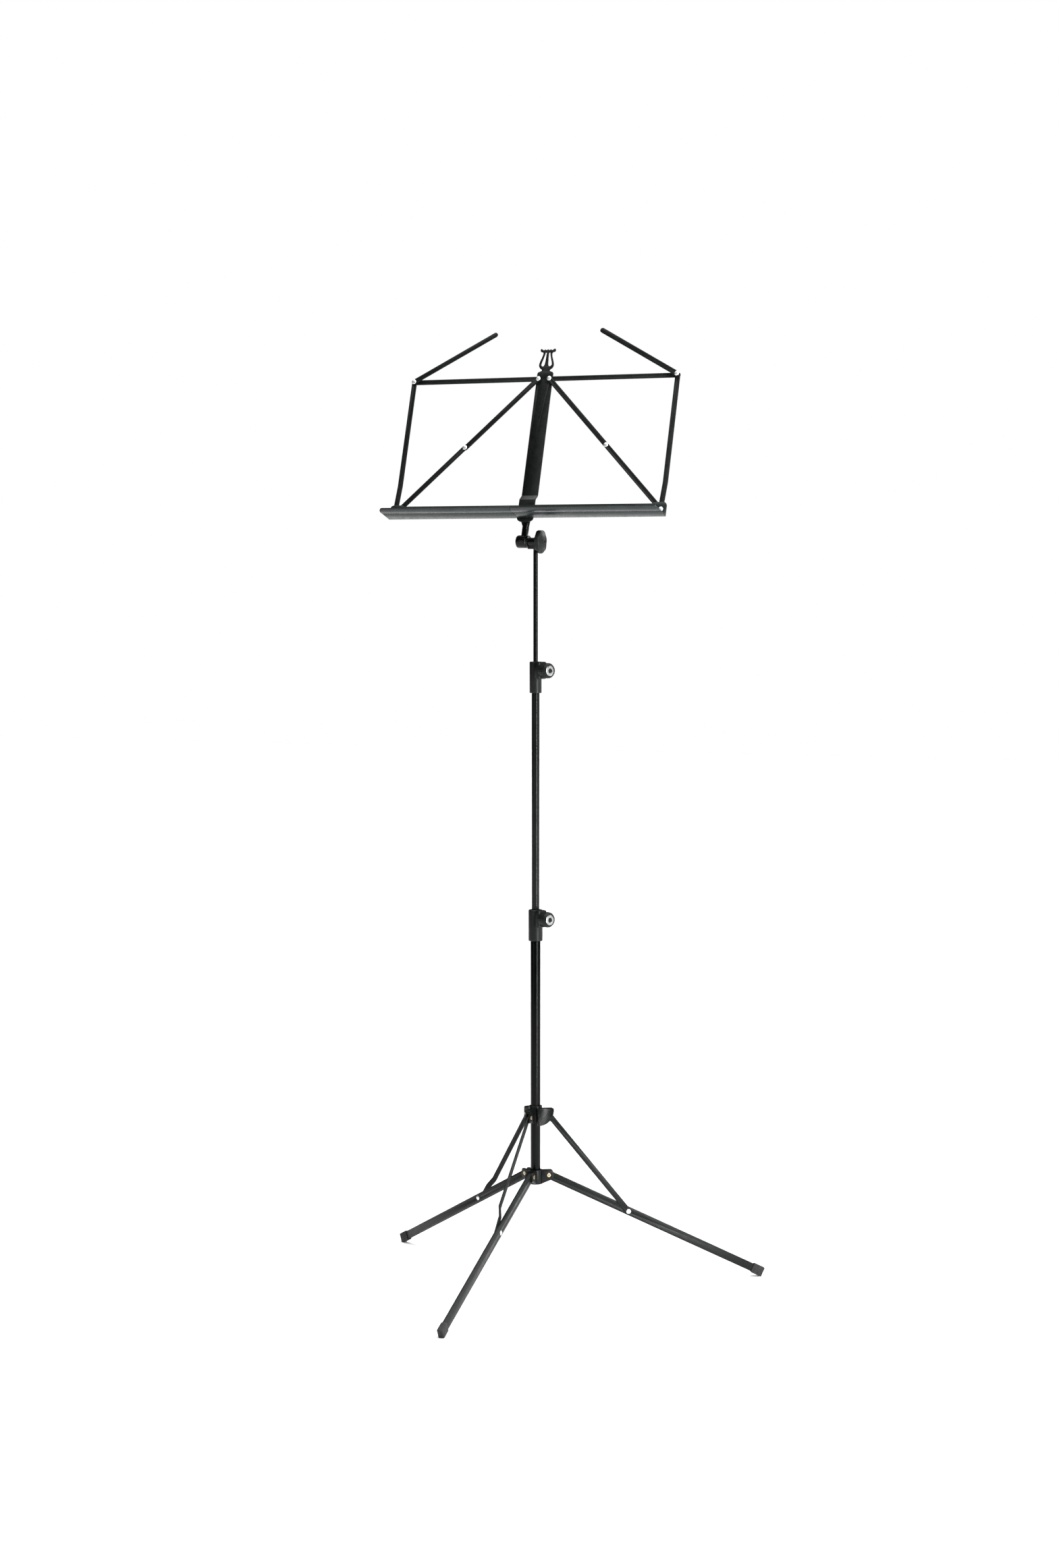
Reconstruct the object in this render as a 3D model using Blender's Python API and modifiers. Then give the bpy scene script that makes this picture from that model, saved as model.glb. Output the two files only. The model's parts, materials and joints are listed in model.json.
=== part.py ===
"""Folding music stand with a flat-bar desk, on a three-section column and a folding tripod.

World frame: metres, +Z up. The desk faces -Y and its width lies along X. The origin is the
middle of the footprint on the floor. Every moving piece is parented to an empty on its
joint's axis, and the empties hang on the empty 'stand'.

Local frames:
  leg plane    X outward from the column, Y anticlockwise seen from above, Z up
  along a leg  X from the hub pin towards the foot, Z square to it
  desk         X along the width, Y up the desk, Z square to it towards the reader
"""

import math

import bmesh
import bpy
from mathutils import Matrix, Vector

MM = 0.001
GAP = 0.3 * MM  # between pieces that touch
ROUND_STEPS = 32
SMALL_STEPS = 16

# Column
LOWER_TUBE_D = 15.5 * MM
LOWER_TUBE_WALL = 0.9 * MM
MIDDLE_TUBE_D = 12.0 * MM
MIDDLE_TUBE_WALL = 0.9 * MM
ROD_D = 7.0 * MM
LOWER_CLAMP_Z = 549.5 * MM
UPPER_CLAMP_Z = 939.5 * MM
CLAMP_HEIGHT = 49.0 * MM
CLAMP_WALL = 3.4 * MM
CLAMP_EDGE = 1.0 * MM
TUBE_IN_CLAMP = 16.0 * MM
BOSS_HEIGHT = 27.0 * MM
BOSS_WIDTH = 17.0 * MM
BOSS_REACH = 17.5 * MM
KNOB_DROP = 13.7 * MM  # from the clamp's top to its screw
KNOB_D = 24.0 * MM
KNOB_FACE_D = 18.5 * MM
KNOB_LENGTH = 17.0 * MM
STUD_D = 6.0 * MM
CLAMP_TURN = -26.0
MIDDLE_TUBE_END_Z = 505.0 * MM
ROD_END_Z = 763.0 * MM
PLUG_LENGTH = 15.0 * MM
PLUG_FLANGE = 4.0 * MM
BUSH_LENGTH = 15.0 * MM

# Tripod
LEG_TURNS = {"right": 30.0, "left": 150.0, "front": -90.0}
HUB_Z = 162.6 * MM
HUB_HEIGHT = 22.4 * MM
HUB_FLOOR = 3.0 * MM
HUB_WALL = 2.6 * MM
HUB_PIN_R = 20.6 * MM
HUB_PIN_Z = 176.6 * MM
HUB_EAR_REACH = 7.5 * MM  # past the pin
HUB_CHEEK = 2.2 * MM
HUB_EAR_RISE = 7.5 * MM
HUB_EAR_DROP = 7.6 * MM
HUB_ROOT_DROP = 13.4 * MM
PIN_D = 4.0 * MM
PIN_HEAD_D = 6.4 * MM
PIN_HEAD = 0.8 * MM
LEG_SLOPE = 25.83  # below level, degrees
LEG_LENGTH = 385.0 * MM  # hub pin to the foot's end
LEG_WIDTH = 7.0 * MM
LEG_DEPTH = 12.5 * MM
LEG_WALL = 1.1 * MM
FOOT_LENGTH = 19.0 * MM
FOOT_WALL = 1.4 * MM
FOOT_END = 3.5 * MM
FOOT_EDGE = 1.3 * MM
BRACE_AT = 142.1 * MM  # along the leg from the hub pin
BRACE_WIDTH = 9.0 * MM
BRACE_THICKNESS = 2.0 * MM
BRACE_TOP_OFFSET = 2.2 * MM  # clockwise of the leg plane, at the collar
BRACE_FAR_OFFSET = 9.6 * MM
BRACE_BEND_START = 43.0 * MM  # before the lower rivet
BRACE_BEND_END = 27.0 * MM
RIVET_D = 3.0 * MM
RIVET_HEAD_D = 7.5 * MM
RIVET_HEAD = 1.2 * MM
RIVET_TAIL = 0.7 * MM

# Collar
COLLAR_Z = 260.0 * MM
COLLAR_HEIGHT = 27.5 * MM
COLLAR_WALL = 2.4 * MM
COLLAR_PIN_R = 22.1 * MM
COLLAR_PIN_Z = 271.3 * MM
COLLAR_CHEEK = 2.4 * MM
COLLAR_SLOT_EXTRA = 0.3 * MM  # play each side beyond GAP, for the brace's slant
COLLAR_EAR_REACH = 5.5 * MM
COLLAR_EAR_RISE = 12.0 * MM
COLLAR_EAR_DROP = 8.5 * MM
COLLAR_ROOF = 5.0 * MM
LEVER_TURN = -50.0
LEVER_TILT = 80.0  # below level, degrees
LEVER_R = 25.0 * MM
LEVER_THICKNESS = 4.5 * MM
LEVER_START = 13.0 * MM
LEVER_EDGE = 2.5 * MM
LEVER_TOP = 2.0 * MM  # above its pivot
LEVER_DROP = 5.5 * MM  # from the collar's top to the pivot
LEVER_LUG = 3.0 * MM

# Tilt joint
TILT_Z = 1175.5 * MM
DESK_TILT = 18.3
STEM_X = -19.8 * MM
STEM_D = 10.5 * MM
STEM_ROUND_TOP = 25.0 * MM
STEM_FLAT_START = 35.0 * MM
STEM_FLAT_TOP = 53.0 * MM
STEM_FLAT_WIDTH = 17.0 * MM
STEM_FLAT = 2.0 * MM
BARREL_D = 20.0 * MM
BARREL_OUTER_X = -31.3 * MM
BARREL_INNER_X = -13.8 * MM
FLANGE_WIDTH = 2.6 * MM
NECK_D = 12.4 * MM
NECK_END_X = 3.7 * MM
BOLT_D = 6.0 * MM
TILT_KNOB_D = 36.0 * MM
TILT_KNOB_GRIP = 8.4 * MM
TILT_KNOB_DOME = 3.0 * MM
TILT_KNOB_LOBES = 7
TILT_KNOB_SCALLOP = 0.6 * MM
SOCKET_D = 7.2 * MM
SOCKET_BOTTOM = 13.0 * MM  # below the tilt axis
SPIGOT_D = 5.0 * MM
SPIGOT_LENGTH = 5.0 * MM
GUSSET_WIDTH = 4.6 * MM
GUSSET_BOTTOM = 11.4 * MM

# Desk, measured from the tilt axis along the desk
DESK_PIVOT_Y = 47.7 * MM
DESK_RISE = 223.5 * MM  # tray pivots to head rivets
DESK_SPAN = 215.5 * MM  # tray pivot to tray end rivet
PIVOT_X = 9.3 * MM  # of each pivot from the centre line
BAR_THICKNESS = 1.5 * MM
BAR_WIDTH = 8.0 * MM
SIDE_BAR_WIDTH = 8.3 * MM
CENTRE_BAR_WIDTH = 27.0 * MM
CENTRE_BAR_THICKNESS = 2.0 * MM
CENTRE_BAR_TAIL = 18.0 * MM  # below the tray pivots
CENTRE_BAR_JOG = 4 * (BAR_THICKNESS + GAP)  # room behind the tray for four layers of bars
JOG_START = 19.5 * MM  # above the tray pivots
JOG_END = 28.5 * MM
SHOULDER = 12.9 * MM  # above the head rivets
LYRE_TOP = 52.2 * MM
PAGE_ARM_LENGTH = 157.0 * MM
PAGE_ARM_ANGLE = 30.0
SIDE_JOG_START = 46.0 * MM  # above the tray end rivet
SIDE_JOG_END = 14.0 * MM

# Tray
TRAY_SHEET = 1.2 * MM
TRAY_RISE = 9.5 * MM  # wall above the pivots
TRAY_DROP = 10.5 * MM  # pivots above the ledge's upper side
TRAY_END = 9.3 * MM  # past the end rivet
TRAY_LEDGE = 28.0 * MM
LIP_DEPTH = 15.5 * MM
LIP_START_ANGLE = -12.0
LIP_END_ANGLE = 36.0
LIP_STEPS = 6
LIP_CORNER = 6.0 * MM
EAR_RISE = 2.2 * MM
EAR_LENGTH = 20.0 * MM
EAR_CORNER = 6.0 * MM
SEAM_X = -10.0 * MM
TRAY_EYE_R = 6.0 * MM

# Places worked out from the sizes above
LEG_PITCH = math.radians(LEG_SLOPE)
BRACE_END_R = HUB_PIN_R + BRACE_AT * math.cos(LEG_PITCH)
BRACE_END_Z = HUB_PIN_Z - BRACE_AT * math.sin(LEG_PITCH)
BRACE_LENGTH = math.hypot(BRACE_END_R - COLLAR_PIN_R, COLLAR_PIN_Z - BRACE_END_Z)
BRACE_SLOPE = math.degrees(
    math.atan2(COLLAR_PIN_Z - BRACE_END_Z, BRACE_END_R - COLLAR_PIN_R)
)
BRACE_NEAR_OFFSET = LEG_WIDTH / 2 + GAP + BRACE_THICKNESS / 2

# Layers of the desk, as heights of each piece's rear face above the stem's axis
PAD_BACK = STEM_D / 2 + GAP
BAR_BACK = PAD_BACK - CENTRE_BAR_JOG
ARM_BACK = BAR_BACK + CENTRE_BAR_THICKNESS + GAP
LAYER = BAR_THICKNESS + GAP
UPPER_LINK_BACK = ARM_BACK + LAYER
LOWER_LINK_BACK = UPPER_LINK_BACK + LAYER
SIDE_TOP_BACK = ARM_BACK + LAYER
TRAY_BACK = {
    "left": PAD_BACK + CENTRE_BAR_THICKNESS + GAP,
    "right": PAD_BACK + CENTRE_BAR_THICKNESS + 2 * GAP + TRAY_SHEET,
}
PAGE_ARM_BACK = {
    "left": SIDE_TOP_BACK + LAYER,
    "right": SIDE_TOP_BACK + 3 * LAYER - GAP,
}
SIDE_SIGN = {"left": -1, "right": 1}


# ---------------------------------------------------------------- scene and materials


def clear_scene():
    for obj in list(bpy.data.objects):
        bpy.data.objects.remove(obj, do_unlink=True)


def material(name, colour, roughness, metallic=0.0):
    made = bpy.data.materials.new(name)
    made.use_nodes = True
    shader = made.node_tree.nodes["Principled BSDF"]
    shader.inputs["Base Color"].default_value = (*colour, 1.0)
    shader.inputs["Roughness"].default_value = roughness
    shader.inputs["Metallic"].default_value = metallic
    return made


clear_scene()
PARTS = bpy.data.collections.new("music_stand")
bpy.context.scene.collection.children.link(PARTS)
POWDER_COAT = material("powder_coat", (0.022, 0.024, 0.026), 0.42)
PLASTIC = material("black_plastic", (0.02, 0.021, 0.023), 0.5)
RUBBER = material("black_rubber", (0.015, 0.015, 0.016), 0.75)
STEEL = material("bright_steel", (0.75, 0.75, 0.76), 0.25, 1.0)
BRASS = material("brass", (0.72, 0.56, 0.36), 0.3, 1.0)


def joint_axis(name, parent, place, turn=None):
    """An empty on a joint's axis, which the piece that moves there is parented to."""
    empty = bpy.data.objects.new(name, None)
    PARTS.objects.link(empty)
    empty.empty_display_size = 0.02
    empty.parent = parent
    empty.matrix_basis = Matrix.Translation(place) @ (turn or Matrix())
    return empty


def piece(name, mesh, parent, finish):
    """A named object made of this mesh, smooth where its faces meet at a shallow angle."""
    obj = bpy.data.objects.new(name, mesh)
    PARTS.objects.link(obj)
    obj.parent = parent
    mesh.materials.clear()
    mesh.materials.append(finish)
    mesh.shade_smooth()
    mesh.set_sharp_from_angle(angle=math.radians(32))
    return obj


# ---------------------------------------------------------------- shape helpers


def rotation(degrees, axis):
    return Matrix.Rotation(math.radians(degrees), 4, axis)


def shift(x=0.0, y=0.0, z=0.0):
    return Matrix.Translation((x, y, z))


def moved(mesh, matrix):
    mesh.transform(matrix)
    return mesh


def tidy(mesh):
    """Welds loose caps and points the faces outward."""
    shape = bmesh.new()
    shape.from_mesh(mesh)
    bmesh.ops.remove_doubles(shape, verts=shape.verts, dist=0.002 * MM)
    bmesh.ops.recalc_face_normals(shape, faces=shape.faces)
    shape.to_mesh(mesh)
    shape.free()
    return mesh


def evaluated(obj):
    """The mesh that the object's curve or modifiers make; the object is removed."""
    if obj.name not in bpy.context.scene.collection.objects:
        bpy.context.scene.collection.objects.link(obj)
    bpy.context.view_layer.update()
    graph = bpy.context.evaluated_depsgraph_get()
    mesh = bpy.data.meshes.new_from_object(obj.evaluated_get(graph))
    bpy.data.objects.remove(obj, do_unlink=True)
    return tidy(mesh)


def boolean(mesh, other, operation):
    """This mesh with another joined to it, cut from it or shared with it."""
    target = bpy.data.objects.new("target", mesh)
    tool = bpy.data.objects.new("tool", other)
    bpy.context.scene.collection.objects.link(tool)
    step = target.modifiers.new("boolean", "BOOLEAN")
    step.operation = operation
    step.object = tool
    made = evaluated(target)
    bpy.data.objects.remove(tool, do_unlink=True)
    return made


def joined(mesh, *others):
    for other in others:
        mesh = boolean(mesh, other, "UNION")
    return mesh


def cut(mesh, *cutters):
    for cutter in cutters:
        mesh = boolean(mesh, cutter, "DIFFERENCE")
    return mesh


def box(low, high, bevel=0.0, steps=2):
    shape = bmesh.new()
    bmesh.ops.create_cube(shape, size=1.0)
    size = Vector(high) - Vector(low)
    middle = (Vector(high) + Vector(low)) / 2
    bmesh.ops.scale(shape, vec=size, verts=shape.verts)
    bmesh.ops.translate(shape, vec=middle, verts=shape.verts)
    if bevel:
        bmesh.ops.bevel(
            shape,
            geom=shape.edges[:],
            offset=bevel,
            segments=steps,
            profile=0.5,
            affect="EDGES",
        )
    mesh = bpy.data.meshes.new("box")
    shape.to_mesh(mesh)
    shape.free()
    return mesh


def cylinder(radius, start, end, axis="Z", steps=ROUND_STEPS):
    """A cylinder on the X, Y or Z axis, from start to end along it."""
    shape = bmesh.new()
    bmesh.ops.create_cone(
        shape,
        cap_ends=True,
        segments=steps,
        radius1=radius,
        radius2=radius,
        depth=end - start,
    )
    mesh = bpy.data.meshes.new("cylinder")
    shape.to_mesh(mesh)
    shape.free()
    onto = {"X": rotation(90, "Y"), "Y": rotation(-90, "X"), "Z": Matrix()}[axis]
    return moved(mesh, onto @ shift(z=(start + end) / 2))


def turned(profile, closed, steps=ROUND_STEPS):
    """A shape turned about Z from (radius, height) points down its outer side."""
    mesh = bpy.data.meshes.new("profile")
    edges = [(i, i + 1) for i in range(len(profile) - 1)]
    if closed:
        edges.append((len(profile) - 1, 0))
    mesh.from_pydata([(r, 0.0, z) for r, z in profile], edges, [])
    obj = bpy.data.objects.new("profile", mesh)
    screw = obj.modifiers.new("turn", "SCREW")
    screw.steps = steps
    screw.render_steps = steps
    screw.use_merge_vertices = True
    screw.merge_threshold = 0.002 * MM
    return evaluated(obj)


def along_x(mesh):
    """Turns a shape made about Z so that its height runs along X."""
    return moved(mesh, rotation(90, "Y"))


def swapped(mesh, first, second):
    """The mesh with two of its axes exchanged and its faces still pointing outward."""
    matrix = Matrix()
    matrix[first][first] = matrix[second][second] = 0.0
    matrix[first][second] = matrix[second][first] = 1.0
    return tidy(moved(mesh, matrix))


def arc(centre, radius, start, end, steps):
    """Points from the start angle to the end angle, in degrees."""
    x, y = centre
    angles = [
        math.radians(start + (end - start) * i / steps) for i in range(steps + 1)
    ]
    return [(x + radius * math.cos(a), y + radius * math.sin(a)) for a in angles]


def circle(centre, radius, steps=SMALL_STEPS):
    return arc(centre, radius, 0, 360, steps)[:-1]


def plate(outline, holes, back, thickness):
    """A flat plate in the XY plane with holes, its rear face at the height 'back'."""
    curve = bpy.data.curves.new("outline", "CURVE")
    curve.dimensions = "2D"
    curve.fill_mode = "BOTH"
    curve.extrude = thickness / 2
    for loop in [outline, *holes]:
        spline = curve.splines.new("POLY")
        spline.points.add(len(loop) - 1)
        for point, (x, y) in zip(spline.points, loop):
            point.co = (x, y, 0.0, 1.0)
        spline.use_cyclic_u = True
    mesh = evaluated(bpy.data.objects.new("outline", curve))
    return moved(mesh, shift(z=back + thickness / 2))


def bar_outline(length, width, tail=None):
    """A bar with round ends about its two pivots, from the origin along X."""
    radius = width / 2
    start = arc((0.0, 0.0), radius, 90, 270, 8)
    end = arc((length, 0.0), radius if tail is None else tail, -90, 90, 8)
    return start + end


def bent(mesh, axis, stations):
    """Shifts a plate along Z by an amount that changes in straight lines between stations.

    stations are (distance along the axis, shift) pairs in order along it.
    """
    shape = bmesh.new()
    shape.from_mesh(mesh)
    for distance, _ in stations[1:-1]:
        place = Vector((0.0, 0.0, 0.0))
        normal = Vector((0.0, 0.0, 0.0))
        place[axis] = distance
        normal[axis] = 1.0
        everything = shape.verts[:] + shape.edges[:] + shape.faces[:]
        bmesh.ops.bisect_plane(shape, geom=everything, plane_co=place, plane_no=normal)
    for vert in shape.verts:
        vert.co.z += between(stations, vert.co[axis])
    shape.to_mesh(mesh)
    shape.free()
    return mesh


def between(stations, value):
    if value <= stations[0][0]:
        return stations[0][1]
    for (x0, y0), (x1, y1) in zip(stations, stations[1:]):
        if value <= x1:
            return y0 + (y1 - y0) * (value - x0) / (x1 - x0)
    return stations[-1][1]


def smooth(points, steps):
    """Points along a smooth curve through the given ones."""
    path = []
    ends = [points[0], *points, points[-1]]
    for a, b, c, d in zip(ends, ends[1:], ends[2:], ends[3:]):
        for i in range(steps):
            t = i / steps
            path.append(
                tuple(
                    0.5
                    * (
                        2 * q
                        + (r - p) * t
                        + (2 * p - 5 * q + 4 * r - s) * t * t
                        + (3 * q - p - 3 * r + s) * t**3
                    )
                    for p, q, r, s in zip(a, b, c, d)
                )
            )
    return [*path, points[-1]]


def rivet(length, tail=0.0):
    """A domed rivet along Z: its head starts at 'length', and a flat tail starts at 0."""
    head = RIVET_HEAD_D / 2
    shank = RIVET_D / 2
    top = length + RIVET_HEAD
    profile = [
        (0.0, top),
        (0.45 * head, top - 0.12 * RIVET_HEAD),
        (0.8 * head, top - 0.45 * RIVET_HEAD),
        (head, length + 0.1 * RIVET_HEAD),
        (head, length),
        (shank, length),
        (shank, tail),
    ]
    if tail:
        profile += [(1.8 * shank, tail), (1.8 * shank, 0.25 * tail), (1.5 * shank, 0.0)]
    profile.append((0.0, 0.0) if tail else (0.0, tail))
    return turned(profile, closed=False, steps=SMALL_STEPS)


def eyelet(span):
    """A tubular pin along Y, centred on the origin, with a rolled head at each end."""
    bore = 0.45 * PIN_D / 2
    half = span / 2 + GAP
    profile = [
        (bore, half + PIN_HEAD),
        (0.8 * PIN_HEAD_D / 2, half + PIN_HEAD),
        (PIN_HEAD_D / 2, half + 0.4 * PIN_HEAD),
        (PIN_HEAD_D / 2, half),
        (PIN_D / 2, half),
        (PIN_D / 2, -half),
        (PIN_HEAD_D / 2, -half),
        (PIN_HEAD_D / 2, -half - 0.4 * PIN_HEAD),
        (0.8 * PIN_HEAD_D / 2, -half - PIN_HEAD),
        (bore, -half - PIN_HEAD),
    ]
    return moved(turned(profile, closed=True, steps=SMALL_STEPS), rotation(90, "X"))


def ring(outer, inner, low, high, edge=0.0):
    profile = [
        (outer - edge, high),
        (outer, high - edge),
        (outer, low + edge),
        (outer - edge, low),
        (inner, low),
        (inner, high),
    ]
    if not edge:
        profile = [(outer, high), (outer, low), (inner, low), (inner, high)]
    return turned(profile, closed=True)


# ---------------------------------------------------------------- tripod


def ear_outline(inner_r, pin_r, reach, drop, rise, corner, root=0.0):
    """A cheek's outline in the leg plane, about the pin's height; its lower edge may slope."""
    outer = pin_r + reach
    return [
        (inner_r, -max(drop, root)),
        *arc((outer - corner, -drop + corner), corner, -90, 0, 3),
        *arc((outer - corner, rise - corner), corner, 0, 90, 3),
        (inner_r, rise),
    ]


def upright_plate(outline, holes, y_low, y_high):
    """A plate standing in the XZ plane, between two Y values."""
    flat = plate(outline, holes, -y_high, y_high - y_low)
    return moved(flat, rotation(90, "X"))


def make_hub(stand):
    bore = LOWER_TUBE_D / 2 + GAP
    outer = bore + HUB_WALL
    core = turned(
        [
            (0.0, HUB_Z + HUB_FLOOR),
            (bore, HUB_Z + HUB_FLOOR),
            (bore, HUB_Z + HUB_HEIGHT),
            (outer, HUB_Z + HUB_HEIGHT),
            (outer, HUB_Z),
            (0.0, HUB_Z),
        ],
        closed=False,
    )
    outline = ear_outline(
        bore + HUB_WALL / 2,
        HUB_PIN_R,
        HUB_EAR_REACH,
        HUB_EAR_DROP,
        HUB_EAR_RISE,
        3.5 * MM,
        HUB_ROOT_DROP,
    )
    hole = circle((HUB_PIN_R, 0.0), PIN_D / 2 + GAP)
    slot = LEG_WIDTH / 2 + GAP
    half = slot + HUB_CHEEK
    inside = HUB_PIN_R - LEG_DEPTH / 2 - MM
    for turn in LEG_TURNS.values():
        block = upright_plate(outline, [hole], -half, half)
        room = box((inside, -slot, -HUB_ROOT_DROP - MM), (inside + 30 * MM, slot, 30 * MM))
        fork = moved(cut(block, room), rotation(turn, "Z") @ shift(z=HUB_PIN_Z))
        core = joined(core, fork)
    piece("leg_hub", core, stand, POWDER_COAT)


def leg_mesh():
    end = LEG_LENGTH - FOOT_END
    outline = [
        *arc((0.0, 0.0), LEG_DEPTH / 2, 90, 270, 10),
        (end, -LEG_DEPTH / 2),
        (end, LEG_DEPTH / 2),
    ]
    holes = [
        circle((0.0, 0.0), PIN_D / 2 + GAP),
        circle((BRACE_AT, 0.0), RIVET_D / 2 + GAP),
    ]
    bar = upright_plate(outline, holes, -LEG_WIDTH / 2, LEG_WIDTH / 2)
    inside = LEG_WIDTH / 2 - LEG_WALL
    channel = box(
        (-LEG_DEPTH, -inside, -LEG_DEPTH),
        (end - FOOT_LENGTH, inside, LEG_DEPTH / 2 - LEG_WALL),
    )
    return cut(bar, channel)


def foot_mesh():
    side = LEG_WIDTH / 2 + FOOT_WALL
    tall = LEG_DEPTH / 2 + FOOT_WALL
    start = LEG_LENGTH - FOOT_LENGTH
    cap = box((start, -side, -tall), (LEG_LENGTH, side, tall), FOOT_EDGE)
    pocket = box(
        (start - MM, -LEG_WIDTH / 2 - GAP, -LEG_DEPTH / 2 - GAP),
        (LEG_LENGTH - FOOT_END + GAP, LEG_WIDTH / 2 + GAP, LEG_DEPTH / 2 + GAP),
    )
    return cut(cap, pocket)


def brace_mesh():
    flat = plate(
        bar_outline(BRACE_LENGTH, BRACE_WIDTH),
        [
            circle((0.0, 0.0), PIN_D / 2 + GAP),
            circle((BRACE_LENGTH, 0.0), RIVET_D / 2 + GAP),
        ],
        -BRACE_THICKNESS / 2,
        BRACE_THICKNESS,
    )
    stations = [
        (-BRACE_WIDTH, BRACE_TOP_OFFSET),
        (0.0, BRACE_TOP_OFFSET),
        (BRACE_LENGTH - BRACE_BEND_START, BRACE_FAR_OFFSET),
        (BRACE_LENGTH - BRACE_BEND_END, BRACE_NEAR_OFFSET),
        (BRACE_LENGTH + BRACE_WIDTH, BRACE_NEAR_OFFSET),
    ]
    return moved(bent(flat, 0, stations), rotation(90, "X"))


def make_legs(stand, collar_axis):
    pin_span = LEG_WIDTH + 2 * (GAP + HUB_CHEEK)
    for side, turn in LEG_TURNS.items():
        plane = rotation(turn, "Z")
        hub_pin = joint_axis(
            f"axis_hub_pin_{side}", stand, (0, 0, 0), plane @ shift(HUB_PIN_R, 0, HUB_PIN_Z)
        )
        piece(f"hub_pin_{side}", eyelet(pin_span), hub_pin, BRASS)
        leg = joint_axis(f"axis_leg_{side}", hub_pin, (0, 0, 0), rotation(LEG_SLOPE, "Y"))
        piece(f"leg_{side}", leg_mesh(), leg, POWDER_COAT)
        piece(f"foot_{side}", foot_mesh(), leg, RUBBER)
        held = moved(rivet(LEG_WIDTH + GAP), shift(z=-LEG_WIDTH / 2))
        held = moved(held, shift(x=BRACE_AT) @ rotation(-90, "X"))
        piece(f"leg_rivet_{side}", held, leg, STEEL)

        brace = joint_axis(
            f"axis_brace_{side}",
            collar_axis,
            (0, 0, 0),
            plane @ shift(COLLAR_PIN_R, 0, 0) @ rotation(BRACE_SLOPE, "Y"),
        )
        piece(f"brace_{side}", brace_mesh(), brace, POWDER_COAT)
        outward = shift(BRACE_LENGTH, -BRACE_NEAR_OFFSET + BRACE_THICKNESS / 2, 0)
        head = moved(rivet(BRACE_THICKNESS + GAP), outward @ rotation(90, "X"))
        piece(f"brace_rivet_{side}", head, brace, STEEL)


def make_collar(stand):
    collar_axis = joint_axis("axis_collar", stand, (0, 0, COLLAR_PIN_Z))
    bore = LOWER_TUBE_D / 2 + GAP
    low = COLLAR_Z - COLLAR_PIN_Z
    body = ring(bore + COLLAR_WALL, bore, low, low + COLLAR_HEIGHT, 0.6 * MM)
    slot = BRACE_THICKNESS / 2 + GAP + COLLAR_SLOT_EXTRA
    inner = bore + COLLAR_WALL / 2
    outline = ear_outline(
        inner,
        COLLAR_PIN_R,
        COLLAR_EAR_REACH,
        COLLAR_EAR_DROP,
        COLLAR_EAR_RISE,
        2.5 * MM,
    )
    hole = circle((COLLAR_PIN_R, 0.0), PIN_D / 2 + GAP)
    middle = -BRACE_TOP_OFFSET
    half = slot + COLLAR_CHEEK
    inside = COLLAR_PIN_R - BRACE_WIDTH / 2 - MM
    for side, turn in LEG_TURNS.items():
        block = upright_plate(outline, [hole], middle - half, middle + half)
        room = box(
            (inside, middle - slot, -COLLAR_EAR_DROP - MM),
            (inside + 30 * MM, middle + slot, COLLAR_EAR_RISE - COLLAR_ROOF),
        )
        body = joined(body, moved(cut(block, room), rotation(turn, "Z")))
        pin = moved(eyelet(2 * (slot + COLLAR_CHEEK)), shift(COLLAR_PIN_R, middle, 0))
        piece(f"collar_pin_{side}", moved(pin, rotation(turn, "Z")), collar_axis, BRASS)
    piece("collar", body, collar_axis, PLASTIC)
    return collar_axis


def make_lever(collar_axis):
    """A thumb paddle, a quarter of a disc, hanging from a lug beside the collar's ring."""
    top = COLLAR_Z + COLLAR_HEIGHT - COLLAR_PIN_Z - LEVER_DROP
    axis = joint_axis(
        "axis_lever",
        collar_axis,
        (0, 0, 0),
        rotation(LEVER_TURN, "Z") @ shift(LEVER_START, 0, top),
    )
    # Drawn with X running down the paddle and Y along its top edge.
    outline = [
        (-LEVER_TOP, -LEVER_EDGE),
        (LEVER_R - 0.2 * MM, -LEVER_EDGE),
        *arc((0.0, 0.0), LEVER_R, 0, 88, 14),
        (-LEVER_TOP, LEVER_R - 0.8 * MM),
    ]
    paddle = moved(plate(outline, [], 0.0, LEVER_THICKNESS), rotation(LEVER_TILT, "Y"))
    reach = LEVER_START - LOWER_TUBE_D / 2 - GAP - COLLAR_WALL - 1.5 * GAP
    half = LEVER_LUG / 2
    lug = box((-reach, -LEVER_EDGE + 0.4 * MM, -half), (2.5 * MM, LEVER_EDGE, half))
    piece("release_lever", joined(paddle, lug), axis, PLASTIC)


# ---------------------------------------------------------------- column


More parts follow.
